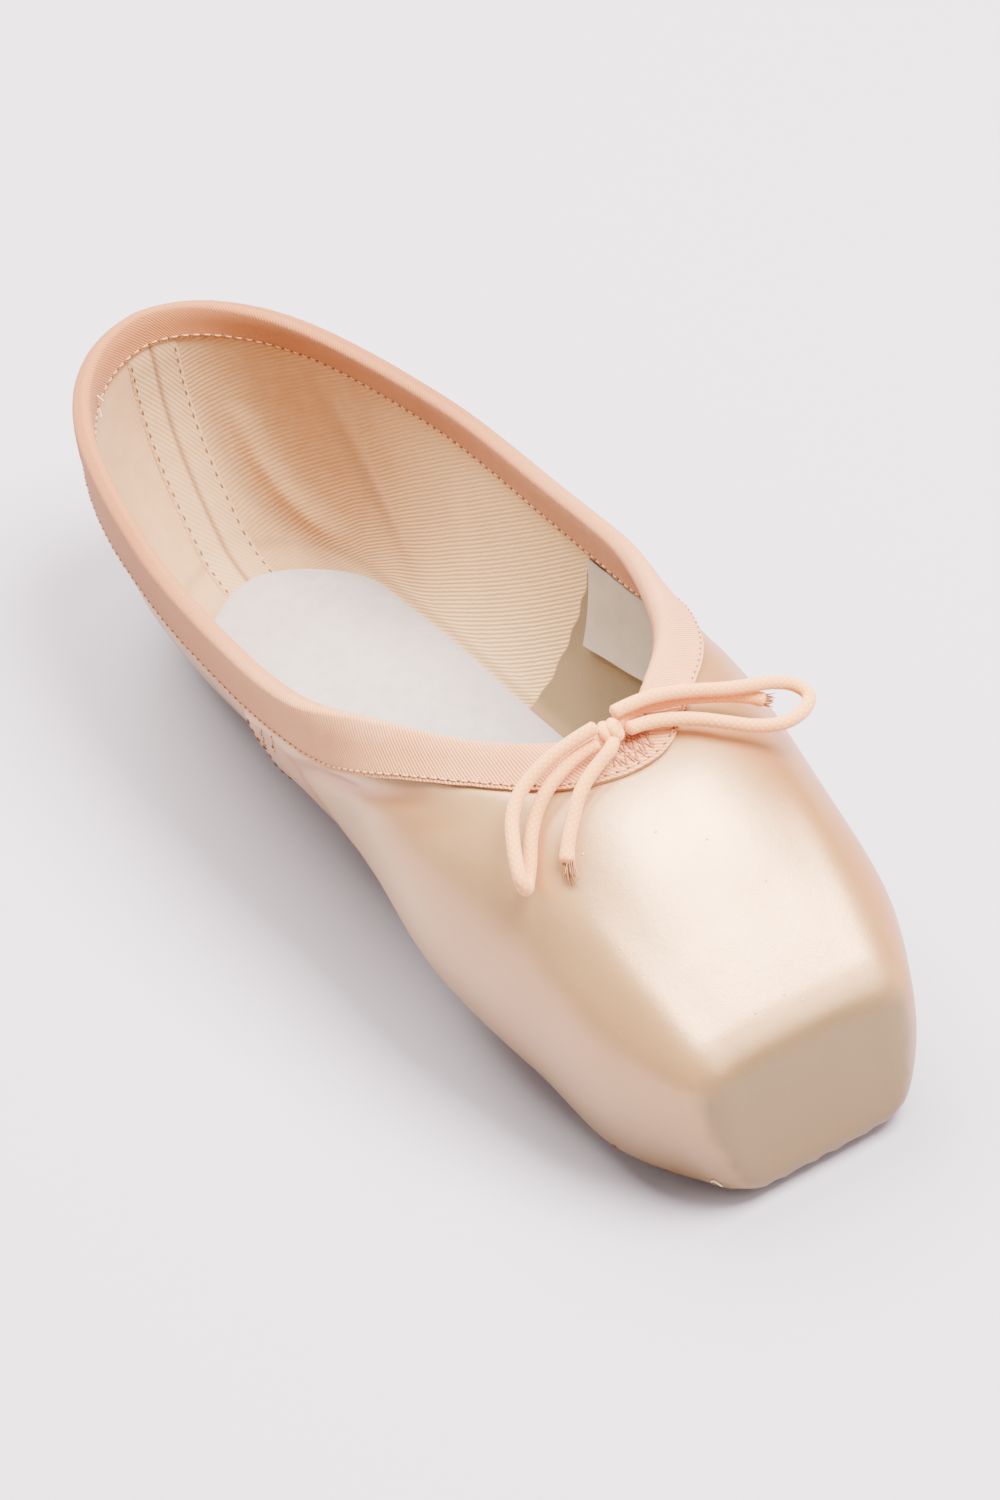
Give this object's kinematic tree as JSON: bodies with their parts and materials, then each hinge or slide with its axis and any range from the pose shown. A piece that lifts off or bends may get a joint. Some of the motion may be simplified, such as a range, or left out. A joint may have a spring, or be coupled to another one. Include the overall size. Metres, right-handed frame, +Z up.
{
  "type": "pointe shoe",
  "caption": "Satin pointe shoe on a straight last, with a stiff toe box, a short leather sole, a bound open collar and a drawstring bow at the throat.",
  "frame": {"origin": "bottom centre of the shoe without its bow, on the floor that it stands on", "axes": "+X along the shoe to the toe, +Y to the side that the label is on, +Z up"},
  "size_m": [0.2454, 0.079, 0.0714],
  "materials": {
    "satin": "peach satin",
    "twill": "matt cotton twill tape",
    "leather": "scuffed flesh side",
    "suede": "pale grey suede",
    "label": "matt woven fabric, blank",
    "cotton": "matt woven cord"
  },
  "bodies": {
    "root": {"upper": "satin", "binding": "twill", "outsole": "leather", "insole": "suede", "label": "label", "knot": "cotton", "loop_near": "cotton", "loop_far": "cotton", "end_near": "cotton", "end_far": "cotton"}
  },
  "joints": []
}
